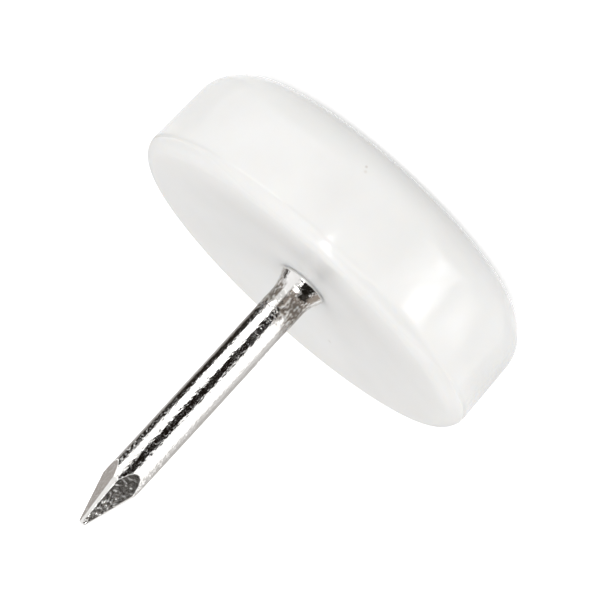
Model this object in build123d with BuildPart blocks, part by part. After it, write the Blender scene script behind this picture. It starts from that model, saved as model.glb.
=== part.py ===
from build123d import *
import os
from math import cos, hypot, radians, sin, sqrt, tan

# Nail-on furniture glide: a round moulded plastic pad with a headed steel nail set in it.
# The pad stands on its glide face at z = 0, and the nail points up the z axis.

# Pad
pad_radius = 12.5  # widest, at the nail side
pad_height = 7.8  # glide face to the rim of the nail side
wall_draft = 2.1  # degrees, the wall narrows towards the glide face
nail_side_rounding = 0.75
glide_side_rounding = 2.8
crown_rise = 0.3  # how far the rim of the glide face stands above its middle
glide_land_radius = 4.0  # flat middle that the pad slides and rests on

# Nail side: a shallow dish inside a narrow flat rim that the leg bears on
rim_inner_radius = 11.2
dish_depth = 0.55
seat_radius = 2.4  # flat bottom of the dish, under the collar

# Nail
nail_reach = 19.75  # seat of the collar to the tip
shank_radius = 1.2
head_radius = 4.0
head_thickness = 1.2
head_edge_bevel = 0.2
floor_under_head = 2.6  # plastic between the head and the glide face

# Collar: a flared seat on the shank that bears on the pad
collar_radius = 1.6
collar_land = 0.15  # straight rim of the collar
collar_height = 1.0  # seat to the end of the flare
collar_blend = 1.5  # hollow rounding from the flare into the shank

# Point: four flats cut across the wire, with narrow strips left at their corners
point_length = 4.2  # tip to where the flats run out on the shank
tip_half_width = 0.22
tip_corner_strip = 0.08  # leg of the corner cut at the tip
root_corner_strip = 0.28  # leg of the corner cut where the flats run out
flat_overrun = 0.3  # how far the cutting form carries on past the run-out

# Worked out from the sizes above
seat_z = pad_height - dish_depth
dish_turn_radius = (seat_radius + rim_inner_radius) / 2  # where the hollow turns up into the rim
hollow_radius = (
    dish_turn_radius**2 - seat_radius**2 + dish_turn_radius * (rim_inner_radius - dish_turn_radius)
) / (2 * dish_depth)  # the hollow is part of a large ball, and so is the crown
hollow_centre_z = seat_z + sqrt(hollow_radius**2 - seat_radius**2)
dish_turn_z = hollow_centre_z - sqrt(hollow_radius**2 - dish_turn_radius**2)
tip_z = seat_z + nail_reach
head_top_z = floor_under_head + head_thickness
flare_top_z = seat_z + collar_height
run_out_z = tip_z - point_length
cut_base_z = run_out_z - flat_overrun
flat_slope = (shank_radius - tip_half_width) / point_length
cut_base_half_width = shank_radius + flat_slope * flat_overrun
draft = radians(wall_draft)
corner_radius = pad_radius + nail_side_rounding * ((1 + sin(draft)) / cos(draft) - 1)
rim_radius = corner_radius - (pad_height - crown_rise) * tan(draft)
crown_centre_z = (rim_radius**2 - glide_land_radius**2 + crown_rise**2) / (2 * crown_rise)
crown_radius = hypot(glide_land_radius, crown_centre_z)

# Head and neck: the end of the nail that the plastic is moulded round
with BuildPart() as anchor:
    with BuildSketch(Plane.XY.offset(floor_under_head)):
        Circle(head_radius)
    extrude(amount=head_thickness)
    chamfer(anchor.edges().filter_by(GeomType.CIRCLE), head_edge_bevel)
    with BuildSketch(Plane.XY.offset(head_top_z)):
        Circle(shank_radius)
    extrude(amount=seat_z - head_top_z)

# Pad: a turned outline, crowned below and dished above, closed tightly round the head and neck
with BuildPart() as glide_pad:
    with BuildSketch(Plane.XZ) as half_section:
        with BuildLine():
            land = Line((0, 0), (glide_land_radius, 0))
            crown = RadiusArc(land @ 1, (rim_radius, crown_rise), -crown_radius)
            wall = Line(crown @ 1, (corner_radius, pad_height))
            rim = Line(wall @ 1, (rim_inner_radius, pad_height))
            seat = Line((0, seat_z), (seat_radius, seat_z))
            hollow = RadiusArc(seat @ 1, (dish_turn_radius, dish_turn_z), -hollow_radius)
            TangentArc(hollow @ 1, rim @ 1, tangent=hollow % 1)
            Line(seat @ 0, land @ 0)
        make_face()
        glide_side_corner = half_section.vertices().sort_by_distance(crown @ 1)[0]
        fillet(glide_side_corner, glide_side_rounding)
        nail_side_corner = half_section.vertices().sort_by_distance(wall @ 1)[0]
        fillet(nail_side_corner, nail_side_rounding)
    revolve(axis=Axis.Z)
    add(anchor.part, mode=Mode.SUBTRACT)

# Offcut: what the cutters take off the wire's end, leaving a four-sided taper with cut corners
with BuildPart() as offcut:
    with BuildSketch(Plane.XY.offset(cut_base_z)):
        Circle(2 * shank_radius)
    extrude(amount=tip_z - cut_base_z)
    with BuildSketch(Plane.XY.offset(cut_base_z)) as cut_base:
        Rectangle(2 * cut_base_half_width, 2 * cut_base_half_width)
        chamfer(cut_base.vertices(), root_corner_strip)
    with BuildSketch(Plane.XY.offset(tip_z)) as cut_tip:
        Rectangle(2 * tip_half_width, 2 * tip_half_width)
        chamfer(cut_tip.vertices(), tip_corner_strip)
    loft(ruled=True, mode=Mode.SUBTRACT)

# Nail: the collar and wire turned as one outline, cut to a point, with the anchored end below
with BuildPart() as nail:
    with BuildSketch(Plane.XZ) as turned:
        with BuildLine():
            Polyline(
                (0, seat_z),
                (collar_radius, seat_z),
                (collar_radius, seat_z + collar_land),
                (shank_radius, flare_top_z),
                (shank_radius, tip_z),
                (0, tip_z),
                close=True,
            )
        make_face()
        flare_end = turned.vertices().sort_by_distance((shank_radius, flare_top_z))[0]
        fillet(flare_end, collar_blend)
    revolve(axis=Axis.Z)
    add(offcut.part, mode=Mode.SUBTRACT)
    add(anchor.part)

glide_pad.part.label = "glide_pad"
nail.part.label = "nail"

os.makedirs("parts", exist_ok=True)
for piece in (glide_pad.part, nail.part):
    export_step(piece, f"parts/{piece.label}.step")
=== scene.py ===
import math
import bpy
import numpy as np
from mathutils import Matrix, Vector, noise


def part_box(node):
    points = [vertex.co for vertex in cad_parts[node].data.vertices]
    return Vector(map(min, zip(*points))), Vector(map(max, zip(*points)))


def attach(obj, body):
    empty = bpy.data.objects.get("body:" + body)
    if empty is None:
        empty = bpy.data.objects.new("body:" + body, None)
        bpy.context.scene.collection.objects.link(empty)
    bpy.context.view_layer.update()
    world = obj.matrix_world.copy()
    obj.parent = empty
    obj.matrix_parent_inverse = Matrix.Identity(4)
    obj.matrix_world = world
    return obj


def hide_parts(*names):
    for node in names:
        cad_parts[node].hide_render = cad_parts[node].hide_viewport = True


# A nail-on furniture glide: a moulded white plastic pad with a bright collared nail.
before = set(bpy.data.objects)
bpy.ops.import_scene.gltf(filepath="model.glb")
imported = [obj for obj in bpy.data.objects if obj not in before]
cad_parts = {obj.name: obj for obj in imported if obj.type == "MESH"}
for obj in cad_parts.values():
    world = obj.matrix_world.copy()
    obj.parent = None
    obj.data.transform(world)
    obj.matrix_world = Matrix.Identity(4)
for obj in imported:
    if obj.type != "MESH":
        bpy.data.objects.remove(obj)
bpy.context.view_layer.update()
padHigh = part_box("glide_pad")[1]
nailLow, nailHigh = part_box("nail")
mm = 0.001
print("frame loaded:", sorted(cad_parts))


# Camera: where it stands, and where the middle of the pad's rim falls in the picture
shot = {
    "turn": 26.0,  # degrees round from the front, towards +X
    "height": 11.5,  # degrees above the floor
    "roll": 137.65,  # the picture shows the glide almost upside down
    "distance": 600 * mm,
    "sensorWidth": 36,  # mm, and only the lens goes with it
    "clip": (0.05, 50),  # metres
    "pixels": 600,
    "pixelsPerMm": 16.75,
    "rimCentrePixel": (297.3, 290.6),
}


def seenFromCamera(left, rise=0.0):
    # direction that points left degrees to the camera's left, as seen from the glide, and rise degrees up
    angle = math.radians(shot["turn"] - 90 - left)
    up = math.radians(rise)
    return Vector((math.cos(angle) * math.cos(up), math.sin(angle) * math.cos(up), math.sin(up)))


def leftOfCamera(points):
    # the other way round: degrees to the camera's left of each point
    return np.degrees(math.radians(shot["turn"] - 90) - np.arctan2(points[:, 1], points[:, 0]))


def degreesApart(left, middle):
    return np.abs((left - middle + 180) % 360 - 180)


def placeCamera():
    towards = seenFromCamera(0, shot["height"])
    side = Vector((math.cos(math.radians(shot["turn"])), math.sin(math.radians(shot["turn"])), 0))
    above = towards.cross(side)
    roll = math.radians(shot["roll"])
    pictureRight = side * math.cos(roll) - above * math.sin(roll)
    pictureUp = side * math.sin(roll) + above * math.cos(roll)
    middle = shot["pixels"] / 2
    pixelSize = mm / shot["pixelsPerMm"]
    offRight = (middle - shot["rimCentrePixel"][0]) * pixelSize
    offUp = (shot["rimCentrePixel"][1] - middle) * pixelSize
    aim = Vector((0, 0, padHigh.z)) + pictureRight * offRight + pictureUp * offUp
    lens = bpy.data.cameras.new("productCamera")
    lens.sensor_width = shot["sensorWidth"]
    lens.lens = lens.sensor_width * shot["distance"] / (shot["pixels"] * pixelSize)
    lens.clip_start, lens.clip_end = shot["clip"]
    camera = bpy.data.objects.new("productCamera", lens)
    turned = Matrix((pictureRight, pictureUp, towards)).transposed().to_4x4()
    camera.matrix_world = Matrix.Translation(aim + towards * shot["distance"]) @ turned
    bpy.context.scene.collection.objects.link(camera)
    bpy.context.scene.camera = camera
    print("camera placed")


# Small helpers for turned shapes. An outline is a list of (radius, height) points
def roundedCorner(before, corner, after, radius, steps):
    toBefore = (Vector(before) - Vector(corner)).normalized()
    toAfter = (Vector(after) - Vector(corner)).normalized()
    halfAngle = toBefore.angle(toAfter) / 2
    centre = Vector(corner) + (toBefore + toAfter).normalized() * (radius / math.sin(halfAngle))
    reach = radius / math.tan(halfAngle)
    first = Vector(corner) + toBefore * reach - centre
    last = Vector(corner) + toAfter * reach - centre
    turns = [first.slerp(last, i / steps).normalized() for i in range(steps + 1)]
    return [tuple(centre + turn * radius) for turn in turns]


def spaced(outline, step):
    points = [outline[0]]
    for start, end in zip(outline, outline[1:]):
        pieces = max(1, math.ceil(math.dist(start, end) / step))
        for i in range(1, pieces + 1):
            share = i / pieces
            points.append(tuple(a + (b - a) * share for a, b in zip(start, end)))
    return points


def turnedRings(outline, columns):
    angles = np.arange(columns) * 2 * math.pi / columns
    radius = np.array([p[0] for p in outline])[:, None]
    height = np.array([p[1] for p in outline])[:, None]
    across = np.cos(angles)[None, :] * radius
    along = np.sin(angles)[None, :] * radius
    return np.stack([across, along, np.broadcast_to(height, across.shape)], axis=2)


def skinRings(name, rings, firstPole, lastPole):
    # closed skin over the rings, with a fan of triangles at each pole
    rows, columns = rings.shape[:2]
    points = np.vstack([rings.reshape(-1, 3), [firstPole], [lastPole]])
    faces = []
    for row in range(rows - 1):
        base = row * columns
        for col in range(columns):
            other = (col + 1) % columns
            faces.append((base + col, base + other, base + columns + other, base + columns + col))
    lastRow = (rows - 1) * columns
    for col in range(columns):
        other = (col + 1) % columns
        faces.append((rows * columns, other, col))
        faces.append((rows * columns + 1, lastRow + col, lastRow + other))
    mesh = bpy.data.meshes.new(name)
    mesh.from_pydata(points.tolist(), [], faces)
    mesh.validate()
    mesh.shade_smooth()
    piece = bpy.data.objects.new(name, mesh)
    bpy.context.scene.collection.objects.link(piece)
    return piece


def wobble(points, size, stretch=1.0, seed=0.0):
    # smooth random value from about -1 to 1 at each point; size is the length of one wave,
    # and each seed has its own place in the noise
    shift = Vector((seed * 7.31, seed * 3.17, seed * 5.73))
    scaled = points / size
    scaled[:, 2] /= stretch
    return np.array([noise.noise(Vector(p) + shift) for p in scaled])


def writePoints(piece, name, values):
    # one value for each point of the rings, and 0 at the two poles
    share = piece.data.attributes.new(name, "FLOAT", "POINT")
    share.data.foreach_set("value", np.append(values, [0, 0]).astype(np.float32))


# Moulded pad
padSizes = {
    "wallDraft": 2.1,  # degrees
    "nailSideRounding": 1.0 * mm,
    "glideSideRounding": 2.8 * mm,
    "crownRise": 0.3 * mm,
    "landRadius": 4.0 * mm,
    "rimInnerRadius": 11.2 * mm,
    "dishDepth": 0.55 * mm,
    "seatRadius": 2.4 * mm,
    "poleRadius": 0.4 * mm,  # first ring, round the middle of the glide face
    "columns": 288,
    "rowStep": 0.15 * mm,
    "hiddenStep": 2.0 * mm,
    "curveSteps": 60,  # in the crown, and in the dish
    "glideSideSteps": 30,
    "nailSideSteps": 14,
    "sinkDepth": 0.010 * mm,  # long waves left by uneven cooling
    "sinkSize": 4.5 * mm,
    "skinDepth": 0.0022 * mm,  # fine unevenness of the mould's own skin
    "skinSize": 1.1 * mm,
    "unevenShare": 0.6,  # of both together
    "dishBand": 0.6 * mm,  # this near the top, the dish sinks straight down
    "polishedReach": 52,  # degrees to each side of the camera where the polished corner ends
    "polishedFade": 22,
    # where the dull nail side begins and is full, in roundings above the top: plain corner, polished corner
    "dullBegins": (-1.4, -0.5),
    "dullFull": (-0.4, 0.0),
}
seatHeight = padHigh.z - padSizes["dishDepth"]


def padOutline():
    s = padSizes
    draft = math.radians(s["wallDraft"])
    overhang = (1 + math.sin(draft)) / math.cos(draft) - 1
    topCorner = (padHigh.x + s["nailSideRounding"] * overhang, padHigh.z)
    low = (topCorner[0] - (padHigh.z - s["crownRise"]) * math.tan(draft), s["crownRise"])
    steps = s["curveSteps"]
    crown = []
    for i in range(steps):
        radius = s["landRadius"] + (low[0] - s["landRadius"]) * i / steps
        share = (radius**2 - s["landRadius"] ** 2) / (low[0] ** 2 - s["landRadius"] ** 2)
        crown.append((radius, s["crownRise"] * share))
    glideSide = roundedCorner(crown[-2], low, topCorner, s["glideSideRounding"], s["glideSideSteps"])
    crown = [p for p in crown if p[0] < glideSide[0][0]]
    rimEdge = (s["rimInnerRadius"], padHigh.z)
    nailSide = roundedCorner(low, topCorner, rimEdge, s["nailSideRounding"], s["nailSideSteps"])
    # the dish falls away from the rim and levels out again at the seat
    dish = []
    for i in range(steps + 1):
        share = i / steps
        rise = 1 - 2 * share**2 if share < 0.5 else 2 * (1 - share) ** 2
        radius = s["rimInnerRadius"] + (s["seatRadius"] - s["rimInnerRadius"]) * share
        dish.append((radius, seatHeight + s["dishDepth"] * rise))
    neck = nailSizes["shankRadius"]
    shown = crown + glideSide + nailSide + dish + [(neck, seatHeight)]
    bevel = nailSizes["headBevel"]
    cavity = [
        (neck, headTop),
        (nailHigh.x - bevel, headTop),
        (nailHigh.x, headTop - bevel),
        (nailHigh.x, nailLow.z + bevel),
        (nailHigh.x - bevel, nailLow.z),
        (neck, nailLow.z),
    ]
    land = spaced([(s["poleRadius"], 0), crown[0]], s["rowStep"])
    return land + spaced(shown, s["rowStep"])[1:] + spaced([shown[-1]] + cavity, s["hiddenStep"])[1:]


def mouldPad():
    s = padSizes
    rings = turnedRings(padOutline(), s["columns"])
    flat = rings.reshape(-1, 3)
    radius = np.hypot(flat[:, 0], flat[:, 1])
    # the unevenness fades out on the seat, in the cavity and at the land, which stay true
    outside = np.clip((radius - s["landRadius"]) / s["landRadius"], 0, 1)
    hair = 0.001 * mm
    dished = (flat[:, 2] > seatHeight - hair) & (radius < s["rimInnerRadius"] + hair)
    outside[dished] = np.clip((radius[dished] - s["seatRadius"]) / mm, 0, 1)
    sink = (1 + wobble(flat, s["sinkSize"], seed=1)) * s["sinkDepth"]
    skin = (1 + wobble(flat, s["skinSize"], seed=2)) * s["skinDepth"]
    depth = (sink + skin) * s["unevenShare"] * outside
    inward = -flat / np.linalg.norm(flat, axis=1)[:, None]
    top = flat[:, 2] > padHigh.z - s["dishBand"]
    inward[top & (radius < s["rimInnerRadius"])] = (0, 0, -1)
    flat += inward * np.maximum(depth, 0)[:, None]
    rings = flat.reshape(rings.shape)
    pad = skinRings("mouldedPad", rings, (0, 0, 0), (0, 0, nailLow.z))
    # the nail side is duller than the wall, and its corner is polished only at the front
    polished = np.clip((s["polishedReach"] - degreesApart(leftOfCamera(flat), 0)) / s["polishedFade"], 0, 1)
    climb = (flat[:, 2] - padHigh.z) / s["nailSideRounding"]
    begin = s["dullBegins"][0] * (1 - polished) + s["dullBegins"][1] * polished
    full = s["dullFull"][0] * (1 - polished) + s["dullFull"][1] * polished
    dull = np.clip((climb - begin) / (full - begin), 0, 1)
    dull[dished] = 1
    writePoints(pad, "dull", dull)
    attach(pad, "root")
    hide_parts("glide_pad")
    print("pad moulded:", len(pad.data.polygons), "faces")
    return pad


# Nail
nailSizes = {
    "shankRadius": 1.2 * mm,
    "headThickness": 1.2 * mm,
    "headBevel": 0.2 * mm,
    "collarRadius": 1.6 * mm,
    "collarLand": 0.15 * mm,
    "collarHeight": 1.0 * mm,
    "collarBlend": 2.2 * mm,
    "pointLength": 4.2 * mm,
    "tipHalfWidth": 0.22 * mm,
    "tipCornerLeg": 0.15 * mm,
    "rootCornerLeg": 0.28 * mm,
    "poleRadius": 0.5 * mm,  # first ring, under the head
    "flareSteps": 12,
    "columns": 232,
    "rowStep": 0.06 * mm,
    "hiddenStep": 1.0 * mm,
    "pittingDepth": 0.0034 * mm,  # wire skin under the plating
    "pittingSize": 0.15 * mm,
    "pittingStretch": 1.8,
    "waveDepth": 0.004 * mm,  # long unevenness left by drawing the wire
    "waveSize": 1.3 * mm,
    "waveStretch": 2.5,
    "flatReach": 0.6 * mm,  # how far past the point the flats may still cut a bulge
    # roughness of the four flats, by the way they face
    "flatBumps": {0: 0.002 * mm, 90: 0.012 * mm, 180: 0.006 * mm, 270: 0.030 * mm},
    "flatBumpSize": 0.24 * mm,
    "flatSink": 0.6,  # how far the flats sink, in their own bumps
    "tornFlats": {270: 1.0, 90: 0.6},  # how torn each is, from 0 to 1
    "paintedShadeRise": (0.7, 1.1),  # mm above the seat: where the painted dark reflection begins, and where it is full
    "paintedShadeFall": (2.1, 3.9),  # where it fades, and where it ends
    "mottle": (0.90, 1.2),  # how dark the painted reflection is, and how uneven
    "mottleSize": 0.13 * mm,
    "mottleStretch": 1.6,
    # streaks left without the painted shade, where the pad's reflection shows: degrees left, half width,
    # and mm above the seat where each starts
    "shadeGapStreaks": [(-26, 13, -2.0), (27, 15, 1.9), (150, 30, 0.5), (215, 20, 1.5)],
    "streakOpening": 1.4,  # mm from a streak's start to its full width
    "streakFade": 6,  # degrees
    "bend": 0.085 * mm,  # the wire leans a little to one side, and its point sits off the middle
    "tipShift": 0.06 * mm,
}
headTop = nailLow.z + nailSizes["headThickness"]


def nailOutline():
    s = nailSizes
    bevel = s["headBevel"]
    hidden = [
        (s["poleRadius"], nailLow.z),
        (nailHigh.x - bevel, nailLow.z),
        (nailHigh.x, nailLow.z + bevel),
        (nailHigh.x, headTop - bevel),
        (nailHigh.x - bevel, headTop),
        (s["shankRadius"], headTop),
        (s["shankRadius"], seatHeight),
    ]
    land = (s["collarRadius"], seatHeight + s["collarLand"])
    flareEnd = (s["shankRadius"], seatHeight + s["collarHeight"])
    tip = (s["shankRadius"], nailHigh.z)
    flare = roundedCorner(land, flareEnd, tip, s["collarBlend"], s["flareSteps"])
    shown = [(s["shankRadius"], seatHeight), (s["collarRadius"], seatHeight), land] + flare + [tip]
    return spaced(hidden, s["hiddenStep"]) + spaced(shown, s["rowStep"])[1:]


def forgeNail():
    s = nailSizes
    outline = nailOutline()
    rings = turnedRings(outline, s["columns"])
    flat = rings.reshape(-1, 3)
    angle = np.arctan2(flat[:, 1], flat[:, 0])
    radius = np.hypot(flat[:, 0], flat[:, 1])
    shown = flat[:, 2] > seatHeight + s["collarLand"]
    pitting = wobble(flat, s["pittingSize"], s["pittingStretch"], seed=3) * s["pittingDepth"]
    wave = wobble(flat, s["waveSize"], s["waveStretch"], seed=4) * s["waveDepth"]
    radius = radius + np.where(shown, pitting + wave - s["pittingDepth"], 0)
    # the cutters leave four flats and a narrow strip of the wire's own skin between them
    toTip = nailHigh.z - flat[:, 2]
    slope = (s["shankRadius"] - s["tipHalfWidth"]) / s["pointLength"]
    halfWidth = s["tipHalfWidth"] + slope * toTip
    leg = s["tipCornerLeg"] + (s["rootCornerLeg"] - s["tipCornerLeg"]) * toTip / s["pointLength"]
    hammered = wobble(flat, s["flatBumpSize"], seed=5)
    cut = toTip < s["pointLength"] + s["flatReach"]
    torn = np.zeros(len(flat))
    facingSide, leastCosine = 0.3, 0.05  # cosines: turned towards the flat, and kept clear of 0
    for facing, bumps in s["flatBumps"].items():
        towards = np.cos(angle - math.radians(facing))
        flatRadius = (halfWidth - bumps * (s["flatSink"] + hammered)) / np.maximum(towards, leastCosine)
        onFlat = cut & (towards > facingSide) & (flatRadius < radius)
        radius = np.where(onFlat, flatRadius, radius)
        torn = np.where(onFlat, s["tornFlats"].get(facing, 0), torn)
        corner = np.cos(angle - math.radians(facing + 45))
        cornerRadius = (2 * halfWidth - leg) / math.sqrt(2) / np.maximum(corner, leastCosine)
        onCorner = cut & (corner > facingSide) & (cornerRadius < radius)
        radius = np.where(onCorner, cornerRadius, radius)
        torn = np.where(onCorner, 0, torn)
    rise = np.clip((flat[:, 2] - seatHeight) / (nailHigh.z - seatHeight), 0, 1)
    leaning = s["bend"] * rise**2 + s["tipShift"] * np.clip(1 - toTip / s["pointLength"], 0, 1)
    sideways = seenFromCamera(-90)
    flat[:, 0] = np.cos(angle) * radius + sideways.x * leaning
    flat[:, 1] = np.sin(angle) * radius + sideways.y * leaning
    tipMiddle = flat[-s["columns"]:].mean(axis=0)
    nail = skinRings("steelNail", flat.reshape(rings.shape), (0, 0, nailLow.z), tipMiddle)
    writePoints(nail, "tornFlat", torn)
    # painted dark reflection: the plating is darkened to brown and mottled above the collar, with streaks
    # left clear where the pad's reflection shows
    above = (flat[:, 2] - seatHeight) / mm
    riseStart, riseEnd = s["paintedShadeRise"]
    fallStart, fallEnd = s["paintedShadeFall"]
    rising = np.clip((above - riseStart) / (riseEnd - riseStart), 0, 1)
    falling = np.clip((fallEnd - above) / (fallEnd - fallStart), 0, 1)
    left = leftOfCamera(flat)
    shadeGaps = np.zeros(len(flat))
    for middle, width, start in s["shadeGapStreaks"]:
        opened = width * np.clip((above - start) / s["streakOpening"], 0, 1)
        shadeGaps = np.maximum(shadeGaps, np.clip((opened - degreesApart(left, middle)) / s["streakFade"], 0, 1))
    mottle = s["mottle"][0] + s["mottle"][1] * wobble(flat, s["mottleSize"], s["mottleStretch"], seed=6)
    writePoints(nail, "paintedDarkReflection", np.clip(rising * falling * mottle, 0, 1) * (1 - shadeGaps))
    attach(nail, "root")
    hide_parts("nail")
    print("nail forged:", len(nail.data.polygons), "faces")
    return nail


# Materials
def newMaterial(name):
    material = bpy.data.materials.new(name)
    material.use_nodes = True
    tree = material.node_tree
    tree.nodes.clear()
    return material, tree


def addNode(tree, kind, inputs=None, **settings):
    node = tree.nodes.new(kind)
    for key, value in settings.items():
        setattr(node, key, value)
    for key, value in (inputs or {}).items():
        if isinstance(value, bpy.types.NodeSocket):
            tree.links.new(value, node.inputs[key])
        else:
            node.inputs[key].default_value = value
    return node


def noiseValue(tree, place, scale, low, high, detail=2.0):
    # noise squeezed into the range low to high; it seldom leaves usualLow to usualHigh
    usualLow, usualHigh = 0.3, 0.7
    texture = addNode(tree, "ShaderNodeTexNoise", {"Vector": place, "Scale": scale, "Detail": detail})
    spread = {
        "Value": texture.outputs["Fac"],
        "From Min": usualLow,
        "From Max": usualHigh,
        "To Min": low,
        "To Max": high,
    }
    return addNode(tree, "ShaderNodeMapRange", spread).outputs["Result"]


def blended(tree, kind, share, first, second):
    # first where the share is 0, and second where it is 1
    sockets = {"Factor": share, "A": first, "B": second}
    return addNode(tree, "ShaderNodeMix", sockets, data_type=kind).outputs["Result"]


def pointValue(tree, name):
    return addNode(tree, "ShaderNodeAttribute", attribute_name=name).outputs["Fac"]


def grainNormal(tree, place, look):
    # fine bumps of the surface's own skin
    grain = {"Vector": place, "Scale": look["bumpScale"], "Detail": look["bumpDetail"]}
    height = addNode(tree, "ShaderNodeTexNoise", grain).outputs["Fac"]
    bump = {"Height": height, "Distance": look["bumpDistance"], "Strength": look["bumpStrength"]}
    return addNode(tree, "ShaderNodeBump", bump).outputs["Normal"]


plasticLook = {
    "paleColor": (0.875, 0.872, 0.86, 1),
    "dullColor": (0.85, 0.847, 0.832, 1),
    "cloudScale": 260,  # waves per metre of the faint clouding
    "cloudDetail": 3.0,
    "roughness": (0.10, 0.14),
    "roughnessScale": 520,
    "dullRoughness": 0.36,  # the mould is duller on the nail side
    "bumpScale": 1500,
    "bumpDetail": 3.0,
    "bumpDistance": 0.002 * mm,
    "bumpStrength": 0.5,
    "refraction": 1.5,
    "glowDepth": 1.7 * mm,
    "glowByColor": (1.0, 0.93, 0.84),
    "speckColor": (0.72, 0.69, 0.66, 1),
    "speckCore": 0.5,  # share of a speck that is fully dark
    # where each speck's middle is, and how far out it fades away
    "specks": [
        (seenFromCamera(-50.6) * 12.2 * mm + Vector((0, 0, 5.2 * mm)), 0.16 * mm),
        (seenFromCamera(-8.1) * 12.15 * mm + Vector((0, 0, 2.3 * mm)), 0.18 * mm),
        (seenFromCamera(-8.9) * 12.15 * mm + Vector((0, 0, 2.0 * mm)), 0.12 * mm),
        (seenFromCamera(150) * 7.0 * mm + Vector((0, 0, 7.4 * mm)), 0.22 * mm),
    ],
}


def whitePlastic():
    look = plasticLook
    material, tree = newMaterial("whiteMouldedPlastic")
    place = addNode(tree, "ShaderNodeTexCoord").outputs["Object"]
    cloud = noiseValue(tree, place, look["cloudScale"], 0, 1, look["cloudDetail"])
    color = blended(tree, "RGBA", cloud, look["paleColor"], look["dullColor"])
    # a few dark specks caught in the plastic
    for spot, size in look["specks"]:
        gap = addNode(tree, "ShaderNodeVectorMath", {0: place, 1: spot}, operation="DISTANCE")
        speck = {"Value": gap.outputs["Value"], "From Min": size, "From Max": size * look["speckCore"]}
        inside = addNode(tree, "ShaderNodeMapRange", speck).outputs["Result"]
        color = blended(tree, "RGBA", inside, color, look["speckColor"])
    glossy = noiseValue(tree, place, look["roughnessScale"], *look["roughness"])
    surface = {
        "Base Color": color,
        "Roughness": blended(tree, "FLOAT", pointValue(tree, "dull"), glossy, look["dullRoughness"]),
        "Normal": grainNormal(tree, place, look),
        "IOR": look["refraction"],
        "Subsurface Weight": 1.0,
        "Subsurface Radius": look["glowByColor"],
        "Subsurface Scale": look["glowDepth"],
    }
    shader = addNode(tree, "ShaderNodeBsdfPrincipled", surface)
    addNode(tree, "ShaderNodeOutputMaterial", {"Surface": shader.outputs["BSDF"]})
    return material


nickelLook = {
    "brightColor": (0.88, 0.87, 0.86, 1),
    "dullColor": (0.78, 0.765, 0.74, 1),
    # painted dark reflection: the colour the plating is darkened to above the collar
    "paintedShadeColor": (0.21, 0.18, 0.155, 1),
    "stainScale": 900,
    "stainDetail": 4.0,
    "roughness": (0.06, 0.13),
    "roughnessScale": 1800,
    "rawRoughness": 0.22,  # on the flats that the cutters tore
    "bumpScale": 7400,
    "bumpDetail": 2.0,
    "bumpSquash": (1, 1, 0.5),  # the bumps are drawn out along the wire
    "bumpDistance": 0.034 * mm,
    "bumpStrength": 0.6,
}


def brightNickel():
    look = nickelLook
    material, tree = newMaterial("brightNickelPlating")
    place = addNode(tree, "ShaderNodeTexCoord").outputs["Object"]
    stain = noiseValue(tree, place, look["stainScale"], 0, 1, look["stainDetail"])
    plating = blended(tree, "RGBA", stain, look["brightColor"], look["dullColor"])
    glossy = noiseValue(tree, place, look["roughnessScale"], *look["roughness"])
    drawn = addNode(tree, "ShaderNodeMapping", {"Vector": place, "Scale": look["bumpSquash"]})
    surface = {
        # the plating turns to the painted dark reflection above the collar
        "Base Color": blended(tree, "RGBA", pointValue(tree, "paintedDarkReflection"), plating, look["paintedShadeColor"]),
        "Metallic": 1.0,
        "Roughness": blended(tree, "FLOAT", pointValue(tree, "tornFlat"), glossy, look["rawRoughness"]),
        "Normal": grainNormal(tree, drawn.outputs["Vector"], look),
    }
    shader = addNode(tree, "ShaderNodeBsdfPrincipled", surface)
    addNode(tree, "ShaderNodeOutputMaterial", {"Surface": shader.outputs["BSDF"]})
    return material


# Studio: a white floor and surroundings, two soft lamps, and cards and sheets that only gloss sees
studio = {
    "floorSize": 8.0,
    "floorColor": (0.9, 0.9, 0.9, 1),
    "floorGlow": 0.60,  # added for the camera and for gloss, so that the bare floor shows white
    "surroundLevel": 0.80,  # light from all round
    "lampLevel": 0.245,
    "lampsLeft": (50, -52),  # degrees to the camera's left
    "lampRise": 8,
    "lampDistance": 0.9,
    "lampSize": 0.5,
}
cardStep = 3  # degrees of bend that one face of a card may span
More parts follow.
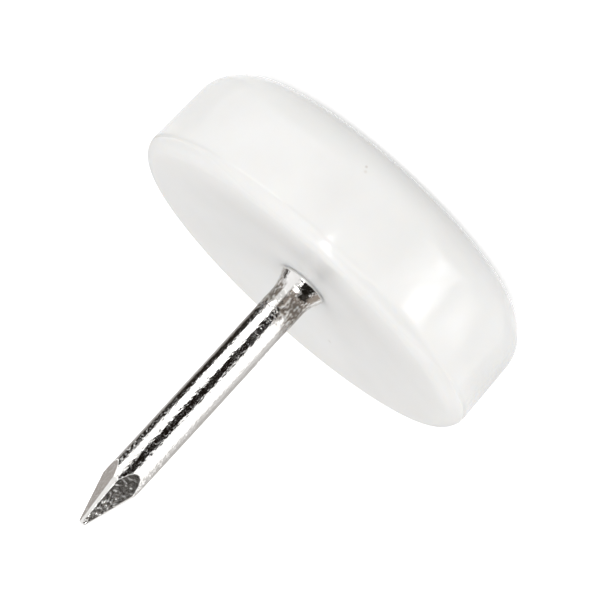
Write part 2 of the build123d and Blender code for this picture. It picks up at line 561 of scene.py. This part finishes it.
# Each card runs between two edges: mm out from the glide, and mm above the floor
cards = {
    "frontDark": {"left": (-35, 18), "edges": ((38, 0.2), (300, 0.2)), "color": (0.008, 0.005, 0.0035)},
    "rightDark": {"left": (-127, -79), "edges": ((38, 0.2), (150, 0.2)), "color": (0.016, 0.012, 0.009)},
    "backRightGrey": {"left": (-165, -127), "edges": ((38, 0.2), (150, 0.2)), "color": (0.36, 0.34, 0.32)},
    "leftPale": {"left": (87, 118), "edges": ((38, 0.2), (150, 0.2)), "color": (0.74, 0.73, 0.72)},
    "backLeftPale": {"left": (118, 150), "edges": ((38, 0.2), (150, 0.2)), "color": (0.55, 0.54, 0.53)},
    "rightFlatGrey": {"left": (-150, -105), "edges": ((150, 17), (150, 36)), "color": (0.42, 0.39, 0.37)},
    "leftFlatDark": {"left": (22, 84), "edges": ((150, 28), (150, 92)), "color": (0.05, 0.045, 0.04)},
    "collarDark": {"left": (-18, 68), "edges": ((150, 92), (150, 190)), "color": (0.01, 0.008, 0.006)},
    "collarBrown": {"left": (77, 120), "edges": ((150, 29), (150, 95)), "color": (0.36, 0.31, 0.27)},
    "collarRight": {"left": (-128, -98), "edges": ((150, 42), (150, 92)), "color": (0.05, 0.04, 0.035)},
    "backHaze": {"left": (160, 200), "edges": ((60, 8.5), (60, 20)), "color": (0.84, 0.81, 0.78)},
    "nearHaze": {"left": (172, 188), "edges": ((58, 4.0), (58, 19)), "color": (0.46, 0.43, 0.40)},
    "leftEndHaze": {"left": (138, 171), "edges": ((58, 1.0), (58, 24)), "color": (0.58, 0.56, 0.54)},
    "rightEndHaze": {"left": (-171, -138), "edges": ((58, 1.0), (58, 24)), "color": (0.58, 0.57, 0.56)},
    "bar": {"left": (-6.9, -3.4), "edges": ((150, 45), (150, 600)), "level": 24.0},
    "underRim": {"left": (-180, 180), "edges": ((9.0, 0.03), (12.6, 0.03)), "level": 1.15},
    "rimLine": {"left": (-72, -31), "edges": ((48, 0.5), (80, 0.5)), "level": 4.0},
}
# Bright sheets on the floor. Each corner says where it shows on the wall: degrees left, and mm up the wall.
# The level is the sheet's middle's, and edgeLevel, where there is one, its edges'
sheets = {
    "glintCore": {
        "corners": [(24.0, 6.7), (22.6, 4.7), (31.0, 3.0), (34.3, 6.9)],
        "level": 10.0,
        "edgeLevel": 3.0,
    },
    "glintLobe": {
        "corners": [(27.0, 3.7), (23.0, 3.0), (22.0, 2.3), (30.5, 2.2), (29.5, 3.4)],
        "level": 8.0,
        "edgeLevel": 2.5,
    },
    "glintSpur": {
        "corners": [(20.0, 6.6), (25.1, 5.9), (31.5, 6.4), (39.0, 6.4), (33.0, 7.4)],
        "level": 7.0,
        "edgeLevel": 2.0,
    },
    "leftSheen": {
        "corners": [(33, 2.2), (33, 7), (52, 7), (48, 2.2)],
        "level": 4.0,
        "edgeLevel": 1.3,
    },
    "rightSheen": {
        "corners": [(-56, 1.0), (-54, 8), (-10, 8), (-12, 1.0)],
        "level": 3.2,
        "edgeLevel": 1.4,
    },
    "rightEnd": {
        "corners": [(-62, 0.2), (-62, 8), (-93, 12.5), (-93, 0.2)],
        "level": 0.9,
        "edgeLevel": 0.95,
    },
    "leftEnd": {
        "corners": [(62, 0.2), (62, 8), (93, 12.5), (93, 0.2)],
        "level": 0.7,
        "edgeLevel": 0.95,
    },
    "glintHalo": {
        "corners": [(13, 7.6), (13, 0.8), (41, 0.8), (43, 7.6)],
        "level": 5.0,
        "edgeLevel": 1.1,
    },
    "barFoot": {
        "corners": [(-3.5, 7.0), (-3.5, 9.5), (-1.9, 9.5), (-1.9, 7.0)],
        "level": 20.0,
    },
}
sheetCut = {
    "edgeSteps": 8,
    "ragged": (1.8, 0.40),  # how far the edges stray, in the corners' own measures
    "raggedStep": (0.9, 3.1, 0.5),  # through the noise: for each point, for each sheet, and where it starts
    "lift": 0.3 * mm,  # the first sheet lies highest, and each later one a little lower
    "gap": 0.03 * mm,
}


def emissive(name, color, level):
    # a level of None is read from the sheet's own points
    material, tree = newMaterial(name)
    if level is None:
        level = pointValue(tree, "level")
    glow = addNode(tree, "ShaderNodeEmission", {"Color": (*color, 1), "Strength": level})
    addNode(tree, "ShaderNodeOutputMaterial", {"Surface": glow.outputs["Emission"]})
    return material


def glossOnly(piece):
    piece.visible_camera = False
    piece.visible_diffuse = False
    piece.visible_transmission = False
    piece.visible_volume_scatter = False
    piece.visible_shadow = False


def addCard(name, points, faces, color, level):
    mesh = bpy.data.meshes.new(name)
    mesh.from_pydata(points, [], faces)
    piece = bpy.data.objects.new(name, mesh)
    piece.data.materials.append(emissive(name, color, level))
    bpy.context.scene.collection.objects.link(piece)
    glossOnly(piece)
    return piece


def standCards():
    for name, card in cards.items():
        start, end = card["left"]
        steps = max(2, math.ceil(abs(end - start) / cardStep))
        points = []
        for i in range(steps + 1):
            out = seenFromCamera(start + (end - start) * i / steps)
            points += [out * (reach * mm) + Vector((0, 0, height * mm)) for reach, height in card["edges"]]
        faces = [(2 * i, 2 * i + 2, 2 * i + 3, 2 * i + 1) for i in range(steps)]
        addCard(name, points, faces, card.get("color", (1, 1, 1)), card.get("level", 1.0))
    print("cards standing:", len(cards))


def raggedEdge(corners, order):
    # points round a sheet on the floor, where the wall mirrors them to the camera at the given corners
    steps = sheetCut["edgeSteps"]
    alongStep, sheetStep, first = sheetCut["raggedStep"]
    down = math.tan(math.radians(shot["height"] + 2 * padSizes["wallDraft"]))
    lift = Vector((0, 0, sheetCut["lift"] - order * sheetCut["gap"]))
    points = []
    for before, after in zip(corners, corners[1:] + corners[:1]):
        for i in range(steps):
            stray = noise.noise_vector((len(points) * alongStep, order * sheetStep, first))
            left = before[0] + (after[0] - before[0]) * i / steps + stray.x * sheetCut["ragged"][0]
            height = before[1] + (after[1] - before[1]) * i / steps + stray.y * sheetCut["ragged"][1]
            mirrored = seenFromCamera(2 * left) * (height * mm / down)
            points.append(seenFromCamera(left) * padHigh.x + mirrored + lift)
    return points


def laySheets():
    for order, (name, sheet) in enumerate(sheets.items()):
        points = raggedEdge(sheet["corners"], order)
        count = len(points)
        if "edgeLevel" not in sheet:
            addCard(name, points, [tuple(range(count))], (1, 1, 1), sheet["level"])
            continue
        points.append(sum(points, Vector()) / count)
        fan = [(i, (i + 1) % count, count) for i in range(count)]
        piece = addCard(name, points, fan, (1, 1, 1), None)
        levels = piece.data.attributes.new("level", "FLOAT", "POINT")
        levels.data.foreach_set("value", [sheet["edgeLevel"]] * count + [sheet["level"]])
    print("sheets laid:", len(sheets))


def seenInPicture(tree):
    # 1 for rays from the camera, and for those that gloss or clear matter sends on
    rays = addNode(tree, "ShaderNodeLightPath").outputs
    seen = rays["Is Camera Ray"]
    for kind in ("Is Glossy Ray", "Is Transmission Ray"):
        seen = addNode(tree, "ShaderNodeMath", {0: seen, 1: rays[kind]}, operation="MAXIMUM").outputs[0]
    return seen


def layFloor():
    half = studio["floorSize"] / 2
    mesh = bpy.data.meshes.new("paleFloor")
    corners = [(-half, -half, 0), (half, -half, 0), (half, half, 0), (-half, half, 0)]
    mesh.from_pydata(corners, [], [(0, 1, 2, 3)])
    floor = bpy.data.objects.new("paleFloor", mesh)
    bpy.context.scene.collection.objects.link(floor)
    material, tree = newMaterial("paleFloorPaper")
    amount = {0: seenInPicture(tree), 1: studio["floorGlow"]}
    level = addNode(tree, "ShaderNodeMath", amount, operation="MULTIPLY").outputs[0]
    paper = addNode(tree, "ShaderNodeBsdfDiffuse", {"Color": studio["floorColor"]})
    glow = addNode(tree, "ShaderNodeEmission", {"Color": (1, 1, 1, 1), "Strength": level})
    both = addNode(tree, "ShaderNodeAddShader", {0: paper.outputs[0], 1: glow.outputs[0]})
    addNode(tree, "ShaderNodeOutputMaterial", {"Surface": both.outputs[0]})
    mesh.materials.append(material)
    print("floor laid")


def lightStudio():
    world = bpy.data.worlds.new("whiteSurround")
    bpy.context.scene.world = world
    world.use_nodes = True
    tree = world.node_tree
    tree.nodes.clear()
    # white in the picture, and the plain level as light
    levels = {"Value": seenInPicture(tree), "To Min": studio["surroundLevel"]}
    level = addNode(tree, "ShaderNodeMapRange", levels).outputs["Result"]
    sky = addNode(tree, "ShaderNodeBackground", {"Color": (1, 1, 1, 1), "Strength": level})
    addNode(tree, "ShaderNodeOutputWorld", {"Surface": sky.outputs["Background"]})
    for number, left in enumerate(studio["lampsLeft"], 1):
        lamp = bpy.data.lights.new(f"softLamp{number}", "AREA")
        lamp.shape = "SQUARE"
        lamp.size = studio["lampSize"]
        # watts that light a white surface facing the lamp to the level
        lamp.energy = studio["lampLevel"] * math.pi**2 * studio["lampDistance"] ** 2
        holder = bpy.data.objects.new(lamp.name, lamp)
        out = seenFromCamera(left, studio["lampRise"])
        holder.location = out * studio["lampDistance"]
        holder.rotation_mode = "QUATERNION"
        holder.rotation_quaternion = out.to_track_quat("Z", "Y")
        holder.visible_glossy = False
        bpy.context.scene.collection.objects.link(holder)
    bpy.context.scene.view_settings.view_transform = "Standard"
    print("studio lit")


placeCamera()
pad = mouldPad()
pad.data.materials.append(whitePlastic())
nail = forgeNail()
nail.data.materials.append(brightNickel())
layFloor()
standCards()
laySheets()
lightStudio()
